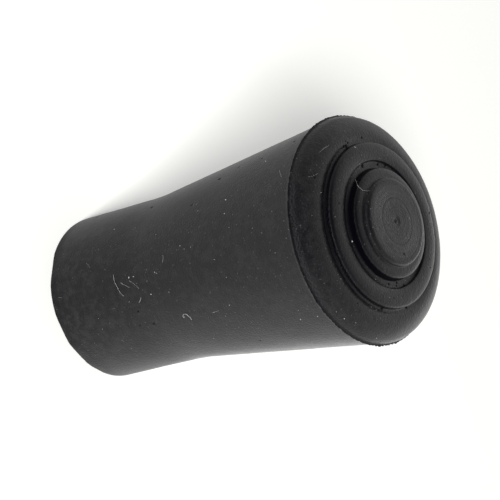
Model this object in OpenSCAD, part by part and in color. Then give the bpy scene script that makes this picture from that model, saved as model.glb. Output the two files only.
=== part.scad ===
// Rubber tip for a walking cane: one moulded piece with a blind socket and a stepped tread.
// It stands on its mouth, with the tread upwards. Millimetres, +Z from the mouth to the tread.
// The whole tip is one section turned round the axis, so every round is a true arc.

/* [Socket] */
// Diameter of the bore that grips the end of the shaft
bore_d = 18; // [16:0.5:19]
// Depth of the blind socket from the mouth to its floor
bore_depth = 40; // [30:1:44]
// Width and depth of the lead-in chamfer at the mouth
lead_in = 0.8; // [0.4:0.1:1.2]
// Radius of the fillet round the floor of the socket
floor_fillet = 1; // [0.5:0.5:4]

/* [Sleeve] */
// Outside diameter of the straight sleeve
sleeve_d = 24.4; // [23:0.1:26]
// Rounding of the sleeve's outer edge at the mouth
mouth_round = 0.4; // [0.2:0.1:0.8]
// Angle between the flare and the axis
flare_angle = 6.6; // [5.6:0.2:9]
// Radius of the long bend between the sleeve and the flare
bend_r = 40; // [20:5:80]

/* [Rim] */
// Height of the parting line above the mouth
rim_h = 49.1; // [47:0.1:55]
// Diameter of the tread at its widest
rim_d = 32.5; // [32:0.1:34]
// Overhang of the tread past the flare, where the mould halves meet
rim_step = 0.25; // [0.1:0.05:0.5]
// Reach of the feather of flash past the tread
flash_out = 0.12; // [0.05:0.01:0.3]
// Thickness of the flash at its root
flash_t = 0.4; // [0.2:0.05:0.6]
// Radius of the rounded shoulder
shoulder_r = 2.75; // [2.5:0.05:3]
// Depth of the centre of that round below the parting line
shoulder_drop = 0.2; // [0:0.05:0.5]

/* [Tread ring] */
// Outside diameter of the raised ring
ring_d = 23.5; // [22.5:0.1:24]
// Height of the ring's top above the parting line
ring_h = 4; // [3.8:0.05:4.5]
// Rounding of the ring's outer edge
ring_round = 0.8; // [0.3:0.05:0.9]
// Fillet that turns the shoulder's inner slope up into the side of the ring
valley_fillet = 0.5; // [0.3:0.05:0.6]

/* [Groove] */
// Outside diameter of the groove between ring and boss
groove_d = 18.3; // [17.8:0.1:19.5]
// Height of the groove's floor above the parting line
groove_h = 3.35; // [2.5:0.05:3.5]
// Fillets along the groove's floor
groove_fillet = 0.35; // [0.1:0.05:0.5]

/* [Boss] */
// Diameter of the boss's lower tier
boss_d = 15.6; // [14.5:0.1:16.2]
// Height of the lower tier above the parting line
ledge_h = 5.1; // [4.7:0.05:5.4]
// Rounding of the lower tier's edge
ledge_round = 0.65; // [0.2:0.05:0.7]
// Diameter of the upper tier
cap_d = 12.5; // [11:0.1:13.5]
// Height of the flat face on top above the parting line
cap_h = 5.9; // [5.9:0.05:6.6]
// Rounding of the upper tier's edge
cap_round = 0.75; // [0.3:0.05:0.8]
// Diameter of the centre mark in the flat face
mark_d = 0.7; // [0.4:0.1:1.2]
// Depth of the centre mark
mark_depth = 0.35; // [0.2:0.05:0.6]

/* [Hidden] */
// Facets of the small rounds, of the shoulder's round, of the long bend and of the turned tip
$fn = 96;
shoulder_facets = 240;
bend_facets = 1440;
turned_facets = 180;
// How far shapes run into each other, or a cut runs past the surface it opens
overlap = 0.5;

bore_r = bore_d / 2;
sleeve_r = sleeve_d / 2;
rim_r = rim_d / 2;
flare_r = rim_r - rim_step;
ring_r = ring_d / 2;
groove_r = groove_d / 2;
boss_r = boss_d / 2;
cap_r = cap_d / 2;
mark_r = mark_d / 2;

// Heights above the mouth
ring_z = rim_h + ring_h;
groove_z = rim_h + groove_h;
ledge_z = rim_h + ledge_h;
cap_z = rim_h + cap_h;

// Where the straight lines of sleeve and flare would meet, and the bend's reach along each
corner_z = rim_h - (flare_r - sleeve_r) / tan(flare_angle);
bend_reach = bend_r * tan(flare_angle / 2);
bend_low_z = corner_z - bend_reach;
bend_high = [sleeve_r + bend_reach * sin(flare_angle), corner_z + bend_reach * cos(flare_angle)];

// Centre of the shoulder's round, and of the fillet that touches both it and the ring's side
shoulder_c = [rim_r - shoulder_r, rim_h - shoulder_drop];
valley_run = shoulder_c.x - ring_r - valley_fillet;
valley_rise = sqrt((shoulder_r + valley_fillet) ^ 2 - valley_run ^ 2);
valley_c = shoulder_c + [-valley_run, valley_rise];

// A rectangle of the section between two radii and two heights
module band(r_in, r_out, z_low, z_high) {
    translate([r_in, z_low])
        square([r_out - r_in, z_high - z_low]);
}

// A disc of the section whose top outer edge is rounded
module rounded_step(r_out, z_low, z_high, edge_r) {
    band(0, r_out - edge_r, z_low, z_high);
    band(0, r_out, z_low, z_high - edge_r);
    translate([r_out - edge_r, z_high - edge_r])
        circle(edge_r);
}

// Straight sleeve with a rounded mouth edge, its bend and the flare up to the parting line
module sleeve_section() {
    difference() {
        polygon([
            [0, mouth_round],
            [sleeve_r, mouth_round],
            [sleeve_r, bend_low_z],
            bend_high,
            [flare_r, rim_h],
            [0, rim_h]
        ]);
        translate([sleeve_r + bend_r, bend_low_z])
            circle(bend_r, $fn = bend_facets);
    }
    band(0, sleeve_r - mouth_round, 0, mouth_round + overlap);
    translate([sleeve_r - mouth_round, mouth_round])
        circle(mouth_round);
}

// Thin fin of flash squeezed out where the mould halves meet
module flash_section() {
    polygon([
        [flare_r - overlap, rim_h - flash_t / 2],
        [rim_r + flash_out, rim_h],
        [flare_r - overlap, rim_h + flash_t / 2]
    ]);
}

// Rounded shoulder, from the parting line in to the line between the two centres
module shoulder_section() {
    intersection() {
        translate(shoulder_c)
            circle(shoulder_r, $fn = shoulder_facets);
        polygon([
            shoulder_c,
            valley_c,
            [rim_r + overlap, valley_c.y],
            [rim_r + overlap, rim_h],
            [shoulder_c.x, rim_h]
        ]);
    }
}

// Valley at the foot of the ring, from the same line in to the ring's side
module valley_section() {
    difference() {
        polygon([shoulder_c, valley_c, [ring_r - overlap, valley_c.y], [ring_r - overlap, shoulder_c.y]]);
        translate(valley_c)
            circle(valley_fillet);
    }
}

// Moat that sets the boss off from the ring, with filleted floor corners
module groove_section() {
    band(boss_r, groove_r, groove_z + groove_fillet, cap_z);
    band(boss_r + groove_fillet, groove_r - groove_fillet, groove_z, cap_z);
    for (corner_r = [boss_r + groove_fillet, groove_r - groove_fillet])
        translate([corner_r, groove_z + groove_fillet])
            circle(groove_fillet);
}

// Everything above the parting line: shoulder, ring, groove and the two tiers of the boss
module tread_section() {
    difference() {
        union() {
            shoulder_section();
            valley_section();
            rounded_step(ring_r, rim_h - overlap, ring_z, ring_round);
        }
        groove_section();
    }
    rounded_step(boss_r, groove_z - overlap, ledge_z, ledge_round);
    rounded_step(cap_r, groove_z - overlap, cap_z, cap_round);
}

// Blind bore with a filleted floor and a lead-in chamfer
module socket_section() {
    band(0, bore_r, -overlap, bore_depth - floor_fillet);
    rounded_step(bore_r, 0, bore_depth, floor_fillet);
    polygon([
        [0, -overlap],
        [bore_r + lead_in + overlap, -overlap],
        [bore_r, lead_in],
        [0, lead_in]
    ]);
}

// Small cone left by the mould's turning centre
module centre_mark_section() {
    polygon([
        [0, cap_z - mark_depth],
        [mark_r * (1 + overlap / mark_depth), cap_z + overlap],
        [0, cap_z + overlap]
    ]);
}

module cane_tip() {
    color([0.17, 0.17, 0.175])
        rotate_extrude($fn = turned_facets)
            difference() {
                union() {
                    sleeve_section();
                    flash_section();
                    tread_section();
                }
                socket_section();
                centre_mark_section();
            }
}

cane_tip();
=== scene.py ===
import math
import random

import bmesh
import bpy
from mathutils import Matrix, Quaternion, Vector, kdtree, noise
from mathutils.bvhtree import BVHTree


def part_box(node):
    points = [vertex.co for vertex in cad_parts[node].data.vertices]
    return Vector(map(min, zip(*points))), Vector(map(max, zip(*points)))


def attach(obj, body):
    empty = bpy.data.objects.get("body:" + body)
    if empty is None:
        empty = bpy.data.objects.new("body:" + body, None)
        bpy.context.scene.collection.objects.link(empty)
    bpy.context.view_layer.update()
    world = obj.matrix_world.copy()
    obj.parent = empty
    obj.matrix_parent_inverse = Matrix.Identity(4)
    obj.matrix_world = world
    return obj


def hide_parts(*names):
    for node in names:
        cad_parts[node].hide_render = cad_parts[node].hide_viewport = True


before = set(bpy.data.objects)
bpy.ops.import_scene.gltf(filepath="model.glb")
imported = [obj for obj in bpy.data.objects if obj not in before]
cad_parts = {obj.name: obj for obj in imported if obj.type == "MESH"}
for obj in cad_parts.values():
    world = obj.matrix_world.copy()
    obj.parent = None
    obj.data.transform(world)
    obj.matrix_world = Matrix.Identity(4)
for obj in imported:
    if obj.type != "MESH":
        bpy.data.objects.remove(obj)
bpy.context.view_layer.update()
mm = 0.001

# where the camera stands round the tip, in metres and degrees
cameraSetup = {
    "aim": (-0.00124, 0.00009, 0.0287),
    "distance": 0.36,
    "azimuth": 0.25,  # 0 looks along +Y
    "elevation": 38.67,
    "roll": 75.23,  # turned so that the tip seems to lie on its side
    "lens": 180.0,
    "sensor": 36.0,
    "shift": (-0.001, 0.001),
    "clip": (0.01, 20.0),
}


def linked(obj):
    bpy.context.scene.collection.objects.link(obj)
    return obj


def towards(azimuth, elevation):
    a, e = math.radians(azimuth), math.radians(elevation)
    return Vector((math.sin(a) * math.cos(e), -math.cos(a) * math.cos(e), math.sin(e)))


def addCamera(setup):
    data = bpy.data.cameras.new("camera")
    data.lens = setup["lens"]
    data.sensor_width = setup["sensor"]
    data.shift_x, data.shift_y = setup["shift"]
    data.clip_start, data.clip_end = setup["clip"]
    camera = linked(bpy.data.objects.new("camera", data))
    back = towards(setup["azimuth"], setup["elevation"])
    camera.rotation_mode = "QUATERNION"
    roll = Quaternion((0, 0, 1), math.radians(setup["roll"]))
    camera.rotation_quaternion = back.to_track_quat("Z", "Y") @ roll
    camera.location = Vector(setup["aim"]) + back * setup["distance"]
    bpy.context.scene.camera = camera


addCamera(cameraSetup)
print("camera in place")

# the turned section in millimetres: radii across, heights above the mouth
tip = {
    "height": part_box("cane_tip")[1].z / mm,
    "steps": 408,  # facets round the axis
    "sectors": 12,  # one of them is spun, the others are turned copies
    "rows": (2.5, 0.65, 0.28),  # longest piece of the section: in the socket, on the side, on the tread
    "weld": 0.002,  # points that are closer become one
    "boreR": 9.0,
    "boreDepth": 40.0,
    "floorFillet": 1.0,
    "leadIn": 0.8,
    "leadInRounds": (0.3, 0.12),  # at its upper and its lower end
    "sleeveR": 12.2,
    "mouthRound": 0.2,
    "bendR": 40.0,
    "flareAngle": 6.6,
    "rimZ": 49.1,
    "rimR": 16.25,
    "rimStep": 0.25,
    "flashOut": 0.12,
    "flashT": 0.22,
    "flashRoot": 0.02,  # how far inside the surface the flash begins
    # where the tangents of the shoulder's two rounds meet, and their radii
    "shoulderSide": (15.86, 50.36, 1.9),
    "shoulderTop": (14.39, 52.19, 3.4),
    "ringR": 11.75,
    "valleyZ": 51.73,
    "valleyR": 0.25,
    "ringZ": 53.18,
    "ringCrown": (10.45, 4.0),  # radius of the highest line of the top, and its rounding
    "ringFall": 16.0,  # degrees by which it falls outwards, and inwards
    "ringInnerFall": 6.0,
    "ringRound": 0.45,
    "ringInnerRound": 0.09,
    "grooveR": 9.06,
    "grooveZ": 52.45,
    "grooveFillet": 0.35,
    "bossR": 7.8,
    "ledgeZ": 54.23,
    "ledgeCrown": (6.95, 2.5),
    "ledgeFall": 17.0,
    "ledgeRound": 0.35,
    "capR": 6.25,
    "capFootR": 0.15,
    "capRound": 0.48,
    "markR": 0.7,  # shallow dish in the middle of the face
    "markRound": 0.25,
    "markDepth": 0.11,
    "pipR": 0.4,  # pip that stands in the dish
    "pipRound": 0.08,
    "pipRise": 0.13,  # above the face
}


def lowered(height, degrees, run):
    return height - run * math.tan(math.radians(degrees))


def sectionCorners(t):
    # radius, height and rounding of each corner, from the socket's floor round to the centre mark
    flareR = t["rimR"] - t["rimStep"]
    bendZ = t["rimZ"] - (flareR - t["sleeveR"]) / math.tan(math.radians(t["flareAngle"]))
    halfFlash = t["flashT"] / 2
    ringEdgeZ = lowered(t["ringZ"], t["ringFall"], t["ringR"] - t["ringCrown"][0])
    ringInnerZ = lowered(t["ringZ"], t["ringInnerFall"], t["ringCrown"][0] - t["grooveR"])
    ledgeEdgeZ = lowered(t["ledgeZ"], t["ledgeFall"], t["bossR"] - t["ledgeCrown"][0])
    return [
        (0, t["boreDepth"], 0),
        (t["boreR"], t["boreDepth"], t["floorFillet"]),
        (t["boreR"], t["leadIn"], t["leadInRounds"][0]),
        (t["boreR"] + t["leadIn"], 0, t["leadInRounds"][1]),
        (t["sleeveR"], 0, t["mouthRound"]),
        (t["sleeveR"], bendZ, t["bendR"]),
        (flareR - t["flashRoot"], t["rimZ"] - halfFlash, 0),
        (t["rimR"] + t["flashOut"], t["rimZ"], 0),
        (t["rimR"] - t["flashRoot"], t["rimZ"] + halfFlash, 0),
        t["shoulderSide"],
        t["shoulderTop"],
        (t["ringR"], t["valleyZ"], t["valleyR"]),
        (t["ringR"], ringEdgeZ, t["ringRound"]),
        (t["ringCrown"][0], t["ringZ"], t["ringCrown"][1]),
        (t["grooveR"], ringInnerZ, t["ringInnerRound"]),
        (t["grooveR"], t["grooveZ"], t["grooveFillet"]),
        (t["bossR"], t["grooveZ"], t["grooveFillet"]),
        (t["bossR"], ledgeEdgeZ, t["ledgeRound"]),
        (t["ledgeCrown"][0], t["ledgeZ"], t["ledgeCrown"][1]),
        (t["capR"], t["ledgeZ"], t["capFootR"]),
        (t["capR"], t["height"], t["capRound"]),
        (t["markR"], t["height"], t["markRound"]),
        (t["pipR"], t["height"] - t["markDepth"], t["pipRound"]),
        (0, t["height"] + t["pipRise"], 0),
    ]


def inSocket(across, height, t, margin):
    return across < t["boreR"] + margin and height < t["boreDepth"] + margin


def rowLength(point, t):
    socket, side, tread = t["rows"]
    if inSocket(point.x, point.z, t, t["leadIn"] / 2):
        return socket
    return side if point.z < t["rimZ"] - t["flashT"] else tread


def turnSection(t):
    corners = sectionCorners(t)
    bm = bmesh.new()
    points = [bm.verts.new((r, 0, z)) for r, z, _ in corners]
    for pair in zip(points, points[1:]):
        bm.edges.new(pair)
    for i in range(1, len(corners) - 1):
        radius = corners[i][2]
        if radius == 0:
            continue
        before, here, after = (Vector(corners[j][:2]) for j in (i - 1, i, i + 1))
        turn = (here - before).angle(after - here)
        spacing = rowLength(points[i].co, t)
        bmesh.ops.bevel(
            bm, geom=[points[i]], offset=radius * math.tan(turn / 2), offset_type="OFFSET",
            segments=max(2, math.ceil(radius * turn / spacing)), profile=0.5,
            affect="VERTICES", material=-1, clamp_overlap=False,
        )
    for edge in bm.edges[:]:
        a, b = edge.verts
        cuts = math.ceil(edge.calc_length() / rowLength((a.co + b.co) / 2, t)) - 1
        if cuts > 0:
            bmesh.ops.subdivide_edges(bm, edges=[edge], cuts=cuts)
    bmesh.ops.scale(bm, vec=(mm, mm, mm), verts=bm.verts)
    # one sector is spun, and turned copies of it close the circle
    sector = math.tau / t["sectors"]
    bmesh.ops.spin(
        bm, geom=bm.verts[:] + bm.edges[:], cent=(0, 0, 0), axis=(0, 0, 1), dvec=(0, 0, 0),
        angle=sector, steps=t["steps"] // t["sectors"], use_merge=False,
        use_normal_flip=False, use_duplicate=False,
    )
    first = bm.verts[:] + bm.edges[:] + bm.faces[:]
    for i in range(1, t["sectors"]):
        copied = bmesh.ops.duplicate(bm, geom=first)["geom"]
        turned = [item for item in copied if isinstance(item, bmesh.types.BMVert)]
        bmesh.ops.rotate(bm, verts=turned, cent=(0, 0, 0), matrix=Matrix.Rotation(i * sector, 3, "Z"))
    bmesh.ops.remove_doubles(bm, verts=bm.verts, dist=t["weld"] * mm)
    bmesh.ops.recalc_face_normals(bm, faces=bm.faces)
    return bm


def finishMesh(bm, name, material):
    mesh = bpy.data.meshes.new(name)
    bm.to_mesh(mesh)
    bm.free()
    mesh.materials.append(material)
    mesh.shade_smooth()
    return linked(bpy.data.objects.new(name, mesh))


# marks in the rubber, in millimetres: angles round the axis in degrees, 0 on +X and -90 towards the camera
marks = {
    # angle, height above the mouth, radius and depth
    "sidePits": [
        (-75, 15.4, 0.22, 0.3), (-64, 17.1, 0.24, 0.3), (-151.5, 17.8, 0.22, 0.25), (-149, 32.4, 0.3, 0.2),
        (-154.5, 46.5, 0.2, 0.2), (-118, 43.6, 0.22, 0.12), (-153.5, 35.7, 0.2, 0.12), (-37, 33.2, 0.2, 0.12),
    ],
    # angle, distance from the axis, radius and depth
    "treadPits": [
        (-4, 4.6, 0.2, 0.22), (-173, 8.6, 0.28, 0.2), (163, 8.7, 0.22, 0.18), (174, 12.5, 0.25, 0.15),
        (-167, 12.0, 0.3, 0.2), (-164.5, 12.15, 0.24, 0.2), (-170, 12.3, 0.2, 0.15), (-168, 12.7, 0.17, 0.12),
        (90, 11.0, 0.22, 0.2), (-14, 8.3, 0.2, 0.2), (-1, 8.2, 0.18, 0.2),
        (-2.5, 8.6, 0.16, 0.2), (8, 8.9, 0.2, 0.2), (-21, 11.8, 0.28, 0.25), (7, 11.95, 0.25, 0.25),
        (-24, 10.1, 0.14, 0.06), (-15, 10.4, 0.16, 0.06), (-9, 10.0, 0.14, 0.06), (-19, 9.7, 0.12, 0.05),
        (-4, 10.3, 0.13, 0.06), (-12, 10.8, 0.14, 0.06), (-28, 10.6, 0.12, 0.05), (91, 7.75, 0.3, 0.15),
    ],
    "pitMargins": (0.45, 0.2),  # how far past a pit's edge the faces are divided, once and again
    "scatteredPits": 26,  # more of them, anywhere on the outside
    "scatteredSize": (0.12, 0.24),
    "scatteredDepth": (0.5, 1.0),  # as a share of a pit's radius
    "sideSpan": (1.5, 48.1),  # heights and distances from the axis between which they lie
    "treadSpan": (7.9, 15.5),
    "unevenness": 0.03,  # of the moulded surface
    "waves": (5.0, 1.3),  # length of its broad and its finer waves
    "finerShare": 0.4,
    "flatFoot": 0.1,  # height below which the mouth's end stays flat
}

# where the rays start that find a place on the side or on the tread, clear of the tip
sideStart, treadStart = 50 * mm, 80 * mm


def onSide(surface, angle, height):
    a = math.radians(angle)
    out = Vector((math.cos(a), math.sin(a), 0))
    return surface.ray_cast(out * sideStart + Vector((0, 0, height * mm)), -out)[:2]


def onTread(surface, angle, radius):
    a = math.radians(angle)
    above = Vector((math.cos(a) * radius * mm, math.sin(a) * radius * mm, treadStart))
    return surface.ray_cast(above, Vector((0, 0, -1)))[:2]


def scatteredPlace(surface, i, angle, spans):
    # two of three lie on the side, the others on the tread
    if i % 3:
        return onSide(surface, angle, random.uniform(*spans["sideSpan"]))
    return onTread(surface, angle, random.uniform(*spans["treadSpan"]))


def unevenSkin(bm, t, m):
    # soft waves that a moulded surface has, left off the socket
    broad, finer = m["waves"]
    bm.normal_update()
    for vert in bm.verts:
        across, height = math.hypot(vert.co.x, vert.co.y) / mm, vert.co.z / mm
        if inSocket(across, height, t, t["leadIn"]) or height < m["flatFoot"]:
            continue
        wave = noise.noise(vert.co / mm / broad) + m["finerShare"] * noise.noise(vert.co / mm / finer)
        vert.co += vert.normal * wave * m["unevenness"] * mm


def pressPits(bm, pits, margins):
    # faces round the pits are divided twice, then their points are pressed in as smooth bowls
    finder = kdtree.KDTree(len(pits))
    for i, (centre, _, _, _) in enumerate(pits):
        finder.insert(centre, i)
    finder.balance()
    for margin in margins:
        close = []
        for edge in bm.edges:
            middle = (edge.verts[0].co + edge.verts[1].co) / 2
            _, i, distance = finder.find(middle)
            if distance < (pits[i][2] + margin) * mm:
                close.append(edge)
        bmesh.ops.subdivide_edges(bm, edges=close, cuts=1, use_grid_fill=True)
    for vert in bm.verts:
        _, i, distance = finder.find(vert.co)
        _, normal, radius, depth = pits[i]
        share = distance / (radius * mm)
        if share < 1:
            vert.co -= normal * depth * mm * (1 - share ** 2) ** 1.5


# the thin fin of flash along the parting line, in millimetres
flash = {
    "raggedness": (0.05, 0.15),  # how far its edge varies, where it is nearly clean and where it is worst
    "stretch": 5.0,  # length of clean and torn stretches
    "stretchContrast": 1.6,
    "grain": 0.38,  # length of the tears along the rim
    "longer": (3.3, 0.6),  # longer tears among them: how many times as long, and their share
    "deepest": 0.1,
    "drift": (3.0, 0.05),  # waves of the parting line up and down: length and height
    # single teeth and gaps: angle, how far they stand out
    "teeth": [(3, 0.08), (-11.5, 0.1), (-19, 0.08), (21, 0.1), (-62, 0.1), (-114, -0.3), (-123, -0.2)],
    "toothWidth": 0.9,  # in degrees
}


def tearFlash(bm, t, f):
    # the fin is divided once and torn unevenly
    low, high = (t["rimZ"] - t["flashT"]) * mm, (t["rimZ"] + t["flashT"]) * mm
    fin = {vert for vert in bm.verts if low < vert.co.z < high}
    edges = [edge for edge in bm.edges if edge.verts[0] in fin and edge.verts[1] in fin]
    bmesh.ops.subdivide_edges(bm, edges=edges, cuts=1, use_grid_fill=True)
    root = (t["rimR"] - t["flashRoot"]) * mm
    clean, worst = f["raggedness"]
    times, longShare = f["longer"]
    driftLength, driftHeight = f["drift"]
    for vert in bm.verts:
        across = math.hypot(vert.co.x, vert.co.y)
        if not (low < vert.co.z < high and across > root):
            continue
        share = min(1.0, (across - root) / ((t["flashOut"] + t["flashRoot"]) * mm))
        around = Vector((vert.co.x, vert.co.y, 0)) / mm
        reach = noise.noise(around / f["grain"]) + longShare * noise.noise(around / (times * f["grain"]))
        tornness = 0.5 + f["stretchContrast"] * noise.noise(around / f["stretch"])
        raggedness = clean + (worst - clean) * min(1.0, max(0.0, tornness))
        degrees = math.degrees(math.atan2(vert.co.y, vert.co.x))
        tooth = sum(size * math.exp(-((degrees - at) / f["toothWidth"]) ** 2) for at, size in f["teeth"])
        out = max(-f["deepest"], reach * raggedness + tooth) * share * mm
        vert.co += around.normalized() * out
        vert.co.z += noise.noise(around / driftLength) * driftHeight * share * mm


# a slight swelling of the mouth's edge between two angles, in millimetres
mouthLip = {
    "from": -175,
    "to": -40,
    "reach": 0.32,
    "height": 0.9,
    "band": 0.5,  # how far in from the sleeve's outside it begins
}

# flats left where the mouth's edge was trimmed by hand
mouthCuts = {
    # angle, depth
    "flats": [(-52, 0.16), (-33, 0.12), (-75, 0.05), (-120, 0.05), (150, 0.1), (60, 0.08)],
    "height": 1.1,
    "band": 1.0,
}


def swellMouth(bm, t, lip):
    middle = math.radians((lip["from"] + lip["to"]) / 2)
    span = math.radians(lip["to"] - lip["from"]) / 2
    for vert in bm.verts:
        across = math.hypot(vert.co.x, vert.co.y) / mm
        share = 1 - vert.co.z / mm / lip["height"]
        if share < 0 or across < t["sleeveR"] - lip["band"]:
            continue
        away = abs((math.atan2(vert.co.y, vert.co.x) - middle + math.pi) % math.tau - math.pi)
        if away < span:
            around = Vector((vert.co.x, vert.co.y, 0)).normalized()
            vert.co += around * lip["reach"] * share ** 2 * math.cos(away / span * math.pi / 2) * mm


def trimMouth(bm, t, cuts):
    for vert in bm.verts:
        height = vert.co.z / mm
        across = math.hypot(vert.co.x, vert.co.y) / mm
        if height > cuts["height"] or across < t["sleeveR"] - cuts["band"]:
            continue
        for angle, depth in cuts["flats"]:
            a = math.radians(angle)
            out = Vector((math.cos(a), math.sin(a), 0))
            limit = t["sleeveR"] - depth * (1 - height / cuts["height"])
            over = vert.co.dot(out) / mm - limit
            if over > 0:
                vert.co -= out * over * mm


def rubberPits(surface, m):
    random.seed(7)
    pits = [(*onSide(surface, angle, height), size, depth) for angle, height, size, depth in m["sidePits"]]
    pits += [(*onTread(surface, angle, radius), size, depth) for angle, radius, size, depth in m["treadPits"]]
    for i in range(m["scatteredPits"]):
        angle = random.uniform(0, 360)
        size = random.uniform(*m["scatteredSize"])
        place = scatteredPlace(surface, i, angle, m)
        pits.append((*place, size, size * random.uniform(*m["scatteredDepth"])))
    return pits


rubberLook = {
    "dark": (0.0019, 0.002, 0.0034),
    "bloom": (0.13, 0.13, 0.128),  # greyish film on handled rubber
    "dust": (0.16, 0.155, 0.145),
    "roughness": 0.28,
    "aboveRim": (tip["rimZ"] - 0.1, tip["rimZ"] + 0.1),  # heights between which the tread takes over
    # patterns: scale per millimetre, detail, roughness, and where they have one the levels they rise between
    "patches": (0.22, 4, 0.6, 0.36, 0.66),
    "specks": (5.0, 3, 0.65, 0.58, 0.74),
    "streaks": (1.0, 4, 0.6, 0.5, 0.72),
    "faceLines": (3.2, 4, 0.7, 0.42, 0.62),
    "mottle": (0.9, 5, 0.72),
    "tears": (4.2, 3, 0.5),
    "grain": (3.5, 2, 0.5),
    # strength of patches, mottle and specks in the film, on the side and on the tread
    "patchContrast": (1.1, 0.4),
    "mottleContrast": (6.0, 1.5),
    "speckShare": (0.5, 2.2),
    "mottleLevel": 0.35,
    "streakShare": 0.1,
    "streakScale": (0.35, 0.35, 3.2),  # fine along the axis, drawn out round it
    "streakHeights": (8.0, 22.0, 36.0, 49.0),  # they come in between the first two, go out between the last
    "sideShare": 0.048,  # of the film on the sleeve and flare
    "handled": (3.0, 17.0, 0.038, 0.0),  # more of it near the mouth: heights, share added there
    # share of the film on the tread: distance from the axis, share; walls, valley corners and the dish round
    # the pip drop to no film as painted shade, and the pip and the valley floor by the ring rise as painted
    # highlight
    "treadShares": [
        (0.0, 0.3), (0.28, 0.25), (0.42, 0.02), (0.6, 0.02), (0.8, 0.1), (5.5, 0.1), (5.8, 0.06), (7.2, 0.06),
        (7.72, 0.0), (7.86, 0.0), (8.2, 0.045), (9.0, 0.04), (9.4, 0.075), (10.2, 0.06), (11.2, 0.04),
        (11.6, 0.0), (11.85, 0.0), (12.2, 0.07), (12.5, 0.13), (13.0, 0.06), (13.8, 0.11), (15.3, 0.18),
        (15.8, 0.13), (16.1, 0.035),
    ],
    # thicker specks along one side, dust and a painted sheen for that edge's grazing highlight: where most,
    # cosines of its edge, share there, heights they begin between
    "dustyTowards": (0.996, -0.087, 0.0),
    "dustyEdge": (0.9, 0.99),
    "dustyShare": 0.72,
    "dustyHeights": (10.0, 24.0),
    # turning marks on the flat face: height and radius where they end, share of them, relief
    "faceZ": (54.6, 54.8),
    "faceRadius": (5.5, 5.0),
    "faintLines": (1.0, 4.0, 0.35, 1.0),  # fainter towards the middle: radii, share there and outside
    "lineShare": 0.1,
    "lineRelief": 0.7,
    # rough torn rubber along the parting line, with its lost film as painted shade under the flash; narrow
    # where it came away clean
    "cleanTowards": (-0.17, -0.985, 0.0),
    "cleanEdge": (0.7, 0.96),
    "tornWidth": (0.05, 0.42),  # there and elsewhere, in millimetres
    "tornWander": 0.85,
    "tornClean": 0.65,  # share of the film lost there, the painted shade
    "tornRoughness": 0.35,  # how much rougher it is
    # dust: cells per millimetre, size of a speck as a share of its cell, colour's share
    "sparseDust": (0.55, 0.075, 0.9),
    "fineDust": (2.6, 0.26, 0.55),
    "dustRarity": 3.0,  # the higher, the fewer are bright
    "dustFrom": 0.03,  # share of the film below which the dust fades, so it fades too where the film share paints shade
    "dustRoughness": 0.3,
    "grainHeight": 0.1,  # in millimetres
    "grainStrength": 0.6,
}


def addNode(tree, kind, settings, **inputs):
    # inputs are values, or sockets to link from; their names have the spaces left out
    node = tree.nodes.new("ShaderNode" + kind)
    for name, value in settings.items():
        setattr(node, name, value)
    for name, value in inputs.items():
        if name.startswith("i"):
            socket = node.inputs[int(name[1:])]
        else:
            socket = next(item for item in node.inputs if item.name.replace(" ", "") == name)
        if isinstance(value, bpy.types.NodeSocket):
            tree.links.new(value, socket)
        else:
            socket.default_value = value
    return node


def addMath(tree, operation, first, second=0.0, third=0.0, clamp=False):
    settings = {"operation": operation, "use_clamp": clamp}
    return addNode(tree, "Math", settings, i0=first, i1=second, i2=third).outputs[0]


def addProduct(tree, first, *others):
    for other in others:
        first = addMath(tree, "MULTIPLY", first, other)
    return first


def addVectorMath(tree, operation, first, second=(0, 0, 0), result="Vector"):
    return addNode(tree, "VectorMath", {"operation": operation}, i0=first, i1=second).outputs[result]


def addFacing(tree, direction, target):
    # cosine of the angle between a direction and the target
    return addVectorMath(tree, "DOT_PRODUCT", direction, target, "Value")


def addRange(tree, value, low, high, toLow=0.0, toHigh=1.0):
    settings = {"interpolation_type": "SMOOTHSTEP"}
    ranged = addNode(tree, "MapRange", settings, i0=value, i1=low, i2=high, i3=toLow, i4=toHigh)
    return ranged.outputs[0]


def addNoise(tree, vector, scale, detail, roughness):
    noiseNode = addNode(tree, "TexNoise", {}, Vector=vector, Scale=scale, Detail=detail, Roughness=roughness)
    return noiseNode.outputs[0]


def addPattern(tree, vector, scale, detail, roughness, low, high):
    return addRange(tree, addNoise(tree, vector, scale, detail, roughness), low, high)


def addRamp(tree, value, stops):
    # a curve through the stops, as a ramp whose grey is read as a number
    reach = stops[-1][0]
    node = addNode(tree, "ValToRGB", {}, i0=addMath(tree, "DIVIDE", value, reach))
    ramp = node.color_ramp
    ramp.interpolation = "LINEAR"
    ramp.elements.remove(ramp.elements[1])
    for i, (at, number) in enumerate(stops):
        element = ramp.elements[0] if i == 0 else ramp.elements.new(at / reach)
        element.position = at / reach
        element.color = (number, number, number, 1)
    return node.outputs[0]


def mixColour(tree, share, first, second):
    settings = {"data_type": "RGBA"}
    mixed = addNode(tree, "Mix", settings, i0=share, i6=first, i7=second)
    return mixed.outputs[2]


def newMaterial(name):
    material = bpy.data.materials.new(name)
    material.use_nodes = True
    return material, material.node_tree


def addPlace(tree):
    # place on the piece, in millimetres
    place = addNode(tree, "TexCoord", {}).outputs["Object"]
    return addNode(tree, "VectorMath", {"operation": "SCALE"}, Vector=place, Scale=1 / mm).outputs[0]


def addFilmAndPaintedLightShares(tree, look, height, across, aboveRim):
    # on the tread the share also paints shade on walls and in the dish, and highlight on the pip and the
    # valley floor
    onTreadShare = addMath(tree, "SUBTRACT", addRamp(tree, across, look["treadShares"]), look["sideShare"])
    share = addMath(tree, "MULTIPLY_ADD", aboveRim, onTreadShare, look["sideShare"])
    return addMath(tree, "ADD", share, addRange(tree, height, *look["handled"]))


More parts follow.
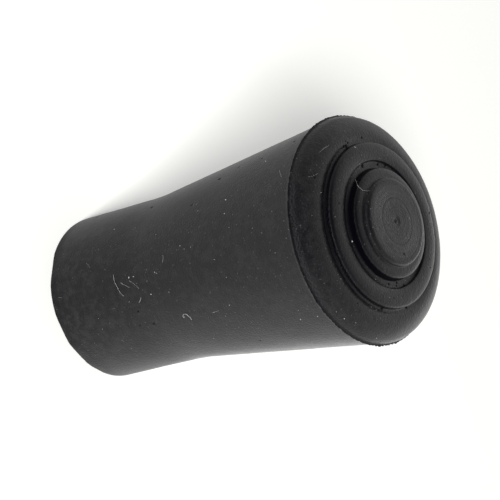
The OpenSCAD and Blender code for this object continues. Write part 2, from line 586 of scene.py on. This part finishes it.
def addFilmAndPaintedLight(tree, look, place, height, bearing, aboveRim, filmAndPaintedLightShare):
    # film of bloom: broad patches broken up by mottle, by specks and by streaks round the sleeve; its share
    # also paints shade and highlight, and the thicker specks on one side a painted sheen
    def byPart(name):
        side, tread = look[name]
        return addMath(tree, "MULTIPLY_ADD", aboveRim, tread - side, side)

    specks = addPattern(tree, place, *look["specks"])
    mottle = addMath(tree, "SUBTRACT", addNoise(tree, place, *look["mottle"]), 0.5)
    level = look["mottleLevel"]
    mottle = addMath(tree, "MULTIPLY_ADD", mottle, byPart("mottleContrast"), level, clamp=True)
    filmAndPaintedLight = addMath(tree, "MULTIPLY_ADD", specks, byPart("speckShare"), mottle)
    patches = addMath(tree, "SUBTRACT", addPattern(tree, place, *look["patches"]), 0.5)
    filmAndPaintedLight = addProduct(tree, filmAndPaintedLight, addMath(tree, "MULTIPLY_ADD", patches, byPart("patchContrast"), 1.0))

    drawn = addVectorMath(tree, "MULTIPLY", place, look["streakScale"])
    begin, full, fade, end = look["streakHeights"]
    present = addProduct(tree, addRange(tree, height, begin, full), addRange(tree, height, end, fade))
    streaks = addProduct(tree, addPattern(tree, drawn, *look["streaks"]), present, look["streakShare"])
    filmAndPaintedLight = addProduct(tree, addMath(tree, "ADD", filmAndPaintedLight, streaks, clamp=True), filmAndPaintedLightShare)

    # painted sheen: thicker specks on one side stand in for its grazing highlight
    dustAndSheen = addRange(tree, addFacing(tree, bearing, look["dustyTowards"]), *look["dustyEdge"])
    belowRim = addMath(tree, "SUBTRACT", 1.0, aboveRim)
    comingIn = addRange(tree, height, *look["dustyHeights"])
    dustAndSheen = addProduct(tree, dustAndSheen, look["dustyShare"], comingIn, belowRim)
    return addMath(tree, "MULTIPLY_ADD", specks, dustAndSheen, filmAndPaintedLight)


def addFaceLines(tree, look, height, across):
    # lines left by turning on the mould's flat face
    rings = addNode(tree, "CombineXYZ", {}, i0=across).outputs[0]
    onFace = addProduct(
        tree, addRange(tree, height, *look["faceZ"]), addRange(tree, across, *look["faceRadius"]),
        addRange(tree, across, *look["faintLines"]),
    )
    return addProduct(tree, addPattern(tree, rings, *look["faceLines"]), onFace)


def addTornEdgeAndShade(tree, look, place, height, bearing, rimZ):
    # 1 on the torn edge and its painted shade, whose border wanders
    facing = addFacing(tree, bearing, look["cleanTowards"])
    narrow, wide = look["tornWidth"]
    width = addRange(tree, facing, *look["cleanEdge"], wide, narrow)
    wander = look["tornWander"]
    wander = addMath(tree, "MULTIPLY_ADD", addNoise(tree, place, *look["tears"]), wander, -wander / 2)
    away = addMath(tree, "ADD", addMath(tree, "SUBTRACT", height, rimZ), wander)
    return addMath(tree, "LESS_THAN", addMath(tree, "ABSOLUTE", away), width)


def addDust(tree, look, place, filmAndPaintedLightShare):
    # specks of dust, few of them bright
    dust = 0.0
    for cellsPerMm, largest, strongest in (look["sparseDust"], look["fineDust"]):
        cells = addNode(tree, "TexVoronoi", {}, Vector=place, Scale=cellsPerMm)
        chance = addNode(tree, "SeparateXYZ", {}, i0=cells.outputs["Color"])
        size = addProduct(tree, chance.outputs[0], largest)
        speck = addMath(tree, "LESS_THAN", cells.outputs["Distance"], size)
        bright = addMath(tree, "POWER", chance.outputs[1], look["dustRarity"])
        dust = addMath(tree, "MAXIMUM", dust, addProduct(tree, speck, bright, strongest))
    return addProduct(tree, dust, addRange(tree, filmAndPaintedLightShare, 0.0, look["dustFrom"]))


def rubberMaterial(look, t):
    material, tree = newMaterial("moulded_rubber")
    shader = tree.nodes["Principled BSDF"]
    place = addPlace(tree)
    height = addNode(tree, "SeparateXYZ", {}, i0=place).outputs[2]
    flat = addVectorMath(tree, "MULTIPLY", place, (1, 1, 0))
    across = addVectorMath(tree, "LENGTH", flat, result="Value")
    bearing = addVectorMath(tree, "NORMALIZE", flat)
    aboveRim = addRange(tree, height, *look["aboveRim"])
    filmAndPaintedLightShare = addFilmAndPaintedLightShares(tree, look, height, across, aboveRim)

    filmAndPaintedLight = addFilmAndPaintedLight(tree, look, place, height, bearing, aboveRim, filmAndPaintedLightShare)
    lines = addFaceLines(tree, look, height, across)
    tornAndShaded = addTornEdgeAndShade(tree, look, place, height, bearing, t["rimZ"])
    dust = addDust(tree, look, place, filmAndPaintedLightShare)
    # the torn band loses film: rough torn rubber and painted shade
    filmAndPaintedLight = addProduct(tree, filmAndPaintedLight, addMath(tree, "MULTIPLY_ADD", tornAndShaded, -look["tornClean"], 1.0))

    bloom = (*look["bloom"], 1)
    colour = mixColour(tree, filmAndPaintedLight, (*look["dark"], 1), bloom)
    colour = mixColour(tree, addProduct(tree, lines, look["lineShare"]), colour, bloom)
    colour = mixColour(tree, dust, colour, (*look["dust"], 1))
    tree.links.new(colour, shader.inputs["Base Color"])
    roughness = addMath(tree, "MULTIPLY_ADD", dust, look["dustRoughness"], look["roughness"])
    roughness = addMath(tree, "MULTIPLY_ADD", tornAndShaded, look["tornRoughness"], roughness)
    tree.links.new(roughness, shader.inputs["Roughness"])

    grain = addNoise(tree, place, *look["grain"])
    relief = addMath(tree, "MULTIPLY_ADD", lines, look["lineRelief"], grain)
    depth, strength = look["grainHeight"] * mm, look["grainStrength"]
    bump = addNode(tree, "Bump", {}, Height=relief, Distance=depth, Strength=strength)
    tree.links.new(bump.outputs[0], shader.inputs["Normal"])
    return material


rubberMesh = turnSection(tip)
print("section turned:", len(rubberMesh.verts), "points,", len(rubberMesh.faces), "faces")
swellMouth(rubberMesh, tip, mouthLip)
trimMouth(rubberMesh, tip, mouthCuts)
unevenSkin(rubberMesh, tip, marks)
tearFlash(rubberMesh, tip, flash)
pressPits(rubberMesh, rubberPits(BVHTree.FromBMesh(rubberMesh), marks), marks["pitMargins"])
print("flash torn and pits pressed:", len(rubberMesh.faces), "faces")
surface = BVHTree.FromBMesh(rubberMesh)
rubberTip = finishMesh(rubberMesh, "rubber_tip", rubberMaterial(rubberLook, tip))
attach(rubberTip, "root")
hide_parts("cane_tip")
print("rubber tip made")

# lint that clings to the rubber; sizes in millimetres, places as for the marks
lint = {
    # thickness, then the places along each fibre, a third number being how far it stands off there
    "sideFibres": [
        (0.022, [(-103.4, 12.7), (-100.2, 12.6), (-94.3, 13.1), (-89.7, 13.4), (-87.6, 13.9)]),
        (0.019, [(-96.8, 13.9), (-94.6, 14.5), (-92.2, 15.4)]),
        (0.015, [(-96.8, 15.6), (-94, 16.5), (-90, 17.1)]),
        (0.022, [(-84, 17.0), (-82.2, 16.9), (-80.8, 16.3)]),
        (0.034, [
            (-65.4, 23.84), (-64.2, 23.36), (-66.8, 23.65), (-67.5, 24.25), (-66.4, 24.57), (-65.6, 24.5),
            (-64.4, 24.72), (-62.1, 24.67),
        ]),
        (0.015, [(-106.3, 23.2), (-104, 23.3), (-102.1, 22.9)]),
        (0.015, [(-132.9, 46.4), (-130.5, 46.7), (-128, 47.2)]),
        (0.011, [(-116.7, 7.2), (-114.5, 7.9), (-112.9, 8.0)]),
        (0.015, [(-98.2, 1.3), (-97.1, 2.0)]),
        (0.022, [(-64.7, 29.4), (-65.2, 30.1), (-65.5, 30.8)]),
    ],
    "treadFibres": [
        (0.013, [
            (-139.5, 9.2, 1.1), (-137.2, 8.66, 1.75), (-136, 8.3, 1.75), (-136.4, 7.9, 1.75), (-137, 7.4),
            (-138, 6.9), (-142, 6.2),
        ]),
        (0.012, [(-143.8, 14.45), (-148, 14.3), (-152.3, 13.9)]),
        (0.009, [(-125.8, 14.9), (-128, 14.3), (-130, 13.8)]),
    ],
    "curl": 0.12,  # how far a fibre stands off or strays between its places
    # angle, height or distance from the axis, size
    "sideCrumbs": [
        (-145.7, 42.2, 0.11), (-127.7, 36.0, 0.1), (-127.7, 30.2, 0.07), (-119, 36.1, 0.07),
        (-105.5, 41.8, 0.07), (-99.5, 48.6, 0.07), (-90, 45.3, 0.07), (-92, 44.5, 0.06),
        (-122, 21.5, 0.07), (-109, 26.9, 0.07), (-106, 29.1, 0.07), (-139, 11.6, 0.09),
        (-98.6, 16.6, 0.16), (-98.9, 15.6, 0.13), (-84.4, 19.2, 0.11), (-93.3, 19.1, 0.07),
        (-83, 14.5, 0.08), (-57, 9.6, 0.06), (-48, 9.9, 0.06), (-69, 7.5, 0.06),
        (-77, 7.7, 0.06), (-60, 4.5, 0.05), (-81, 11.3, 0.05), (-90, 9.9, 0.05),
        (-67.6, 33.2, 0.07), (-61, 31.3, 0.07), (-62.3, 33.4, 0.06), (-51.5, 32.1, 0.07),
        (-83.8, 34.9, 0.07), (-95.1, 33.5, 0.06), (-51.3, 43.8, 0.07), (-51.8, 47.1, 0.07),
        (-44.4, 25.8, 0.07), (-97.5, 21.1, 0.09), (-96.6, 21.4, 0.07),
    ],
    "treadCrumbs": [
        (-82, 7.95, 0.1), (90, 3.0, 0.09), (-169, 11.5, 0.08), (83, 10.5, 0.07), (-116, 5.8, 0.07),
        (-46, 15.7, 0.09), (-39, 15.3, 0.08), (-20, 15.7, 0.07), (-52, 15.8, 0.09), (35, 6.0, 0.06),
    ],
    "scattered": 90,  # finer crumbs anywhere on the outside
    "scatteredSize": (0.025, 0.055),
    "sideSpan": (1.5, 48.1),
    "treadSpan": (1.0, 15.5),
    "crumbStretch": [(0.6, 1.5), (0.6, 1.3), (0.4, 0.8)],  # least and most, along three axes
    "crumbLift": 0.3,  # of its middle above the rubber, as a share of its size
    "crumbLumps": (9.0, 0.35),  # fineness per millimetre, height as a share of its size
    "colour": (0.55, 0.54, 0.52),
    "darkest": (0.05, 0.05, 0.05),
    "tone": (1.5, 3, 0.5),  # pattern that darkens it: scale per millimetre, detail, roughness
    "toneRange": (0.3, 0.7, 0.45, 1.0),
    "roughness": 0.9,
}


def lintMaterial(look):
    material, tree = newMaterial("lint_fibre")
    shader = tree.nodes["Principled BSDF"]
    tone = addRange(tree, addNoise(tree, addPlace(tree), *look["tone"]), *look["toneRange"])
    colour = mixColour(tree, tone, (*look["darkest"], 1), (*look["colour"], 1))
    tree.links.new(colour, shader.inputs["Base Color"])
    shader.inputs["Roughness"].default_value = look["roughness"]
    return material


def addFibres(surface, look):
    curve = bpy.data.curves.new("lint_fibres", "CURVE")
    curve.dimensions = "3D"
    curve.bevel_depth = 1.0  # times the radius of each point
    curve.bevel_resolution = 1
    curve.resolution_u = 6
    fibres = [(onSide, *fibre) for fibre in look["sideFibres"]]
    fibres += [(onTread, *fibre) for fibre in look["treadFibres"]]
    for find, thickness, places in fibres:
        spline = curve.splines.new("NURBS")
        spline.points.add(len(places) - 1)
        spline.use_endpoint_u = True
        spline.order_u = min(3, len(places))
        for point, (angle, along, *standing) in zip(spline.points, places):
            co, normal = find(surface, angle, along)
            lift = thickness + random.uniform(0, look["curl"]) + sum(standing)
            point.co = (*(co + normal * lift * mm), 1)
            point.radius = thickness * mm
    curveObject = linked(bpy.data.objects.new("lint_fibres", curve))
    bpy.context.view_layer.update()
    evaluated = curveObject.evaluated_get(bpy.context.evaluated_depsgraph_get())
    mesh = bpy.data.meshes.new_from_object(evaluated)
    bpy.data.objects.remove(curveObject)
    bm = bmesh.new()
    bm.from_mesh(mesh)
    bpy.data.meshes.remove(mesh)
    return bm


def addCrumb(bm, place, size, look):
    co, normal = place
    turn = Matrix.Rotation(random.uniform(0, math.tau), 4, normal)
    stretch = Matrix.Diagonal((*(random.uniform(*limits) for limits in look["crumbStretch"]), 1))
    matrix = Matrix.Translation(co + normal * size * look["crumbLift"] * mm) @ turn @ stretch
    made = bmesh.ops.create_icosphere(bm, subdivisions=1, radius=size * mm, matrix=matrix)
    fineness, lumps = look["crumbLumps"]
    for vert in made["verts"]:
        vert.co += noise.noise_vector(vert.co / mm * fineness) * size * lumps * mm


def addLint(surface, look):
    random.seed(11)
    noise.seed_set(11)  # without it the crumbs' lumps differ from run to run
    bm = addFibres(surface, look)
    for angle, height, size in look["sideCrumbs"]:
        addCrumb(bm, onSide(surface, angle, height), size, look)
    for angle, radius, size in look["treadCrumbs"]:
        addCrumb(bm, onTread(surface, angle, radius), size, look)
    for i in range(look["scattered"]):
        angle, size = random.uniform(0, 360), random.uniform(*look["scatteredSize"])
        addCrumb(bm, scatteredPlace(surface, i, angle, look), size, look)
    piece = finishMesh(bm, "lint", lintMaterial(look))
    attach(piece, "root")


addLint(surface, lint)
print("lint laid on")

# floor and light; directions are seen from the tip, -Y towards the camera
studio = {
    "floorSize": 1.6,
    "floorColour": (0.785, 0.79, 0.755),
    "floorLift": 0.34,  # added to the floor for the camera, so that it shows white
    # how reflections show the floor, with painted shadow behind the tip and painted light to the right: tones
    # behind, in front and to the right, and cosines of those edges
    "mirrored": (0.53, 0.61, 0.82),
    "behind": (-0.94, 0.34, 0.0),
    "behindEdge": (0.72, 0.98),
    "rightEdge": (0.0, 0.95),
    # how much brighter floor and low sky are towards the window, on the floor as painted light seen in
    # reflections, and cosines of its edge
    "glow": (0.7, 0.8, 1.0),
    "glowHeights": (0.08, 0.32),  # sines of the elevations between which the glow in the sky ends
    "skyColour": (1.0, 1.0, 0.985),
    "horizonStrength": 0.455,
    "zenithStrength": 0.234,
    "skyFrom": 0.25,  # sine of the elevation at which the sky begins to darken
    "windowStrength": 0.362,  # how much brighter the sky is towards the window, and darker away from it
    "window": (0.457, 0.889, 0.0),
}

# soft lamp that casts the shadow, in metres and watts; azimuth 0 is towards the camera, 90 towards +X
keyLamp = {
    "azimuth": 9.0,
    "elevation": 41.0,
    "distance": 0.9,
    "size": 0.16,
    "power": 8.2,
}


def addGlow(tree, direction, s):
    most, edge, full = s["glow"]
    return addRange(tree, addFacing(tree, direction, s["window"]), edge, full, 0.0, most)


def addPaintedMirroredTone(tree, s):
    shaded, front, right = s["mirrored"]
    place = addNode(tree, "TexCoord", {}).outputs["Object"]
    bearing = addVectorMath(tree, "NORMALIZE", place)
    sideways = addNode(tree, "SeparateXYZ", {}, i0=bearing).outputs[0]
    tone = addRange(tree, sideways, *s["rightEdge"], front, right)
    # painted shadow on the floor behind the tip, seen only in reflections
    paintedShadow = addRange(tree, addFacing(tree, bearing, s["behind"]), *s["behindEdge"], 1.0, shaded / front)
    return addMath(tree, "MULTIPLY_ADD", tone, paintedShadow, addGlow(tree, bearing, s))


def addFloor(s):
    bm = bmesh.new()
    bmesh.ops.create_grid(bm, x_segments=1, y_segments=1, size=s["floorSize"] / 2)
    material, tree = newMaterial("floor")
    tree.nodes.clear()
    output = tree.nodes.new("ShaderNodeOutputMaterial")
    rays = addNode(tree, "LightPath", {})
    glossyRay, cameraRay = rays.outputs["Is Glossy Ray"], rays.outputs["Is Camera Ray"]
    # reflections see the floor in a painted tone of shadow and light, the camera sees it plain
    colour = mixColour(tree, glossyRay, (*s["floorColour"], 1), addPaintedMirroredTone(tree, s))
    diffuse = addNode(tree, "BsdfDiffuse", {}, Color=colour)
    lift = addNode(tree, "Emission", {}, Strength=addProduct(tree, cameraRay, s["floorLift"]))
    both = addNode(tree, "AddShader", {}, i0=diffuse.outputs[0], i1=lift.outputs[0])
    tree.links.new(both.outputs[0], output.inputs["Surface"])
    finishMesh(bm, "floor", material)


def addKeyLamp(k):
    light = bpy.data.lights.new("key", "AREA")
    light.size = k["size"]
    light.energy = k["power"]
    lamp = linked(bpy.data.objects.new("key", light))
    direction = towards(k["azimuth"], k["elevation"])
    lamp.location = direction * k["distance"]
    lamp.rotation_mode = "QUATERNION"
    lamp.rotation_quaternion = direction.to_track_quat("Z", "Y")
    lamp.visible_glossy = False


def addWorld(s):
    world = bpy.data.worlds.new("world")
    bpy.context.scene.world = world
    world.use_nodes = True
    tree = world.node_tree
    background = tree.nodes["Background"]
    direction = addNode(tree, "TexCoord", {}).outputs["Generated"]
    upwards = addNode(tree, "SeparateXYZ", {}, i0=direction).outputs[2]
    strength = addRange(tree, upwards, s["skyFrom"], 1.0, s["horizonStrength"], s["zenithStrength"])
    facing = addFacing(tree, direction, s["window"])
    strength = addMath(tree, "MULTIPLY_ADD", facing, s["windowStrength"], strength)
    low = addRange(tree, upwards, *s["glowHeights"], 1.0, 0.0)
    strength = addMath(tree, "MULTIPLY_ADD", addGlow(tree, direction, s), low, strength)
    # plain white where the camera looks past the floor
    seen = addNode(tree, "LightPath", {}).outputs["Is Camera Ray"]
    strength = addProduct(tree, strength, addMath(tree, "SUBTRACT", 1.0, seen))
    strength = addMath(tree, "ADD", strength, seen)
    tree.links.new(strength, background.inputs["Strength"])
    background.inputs["Color"].default_value = (*s["skyColour"], 1)


addFloor(studio)
addKeyLamp(keyLamp)
addWorld(studio)
bpy.context.scene.view_settings.view_transform = "Standard"
print("stage lit")

bpy.context.view_layer.update()
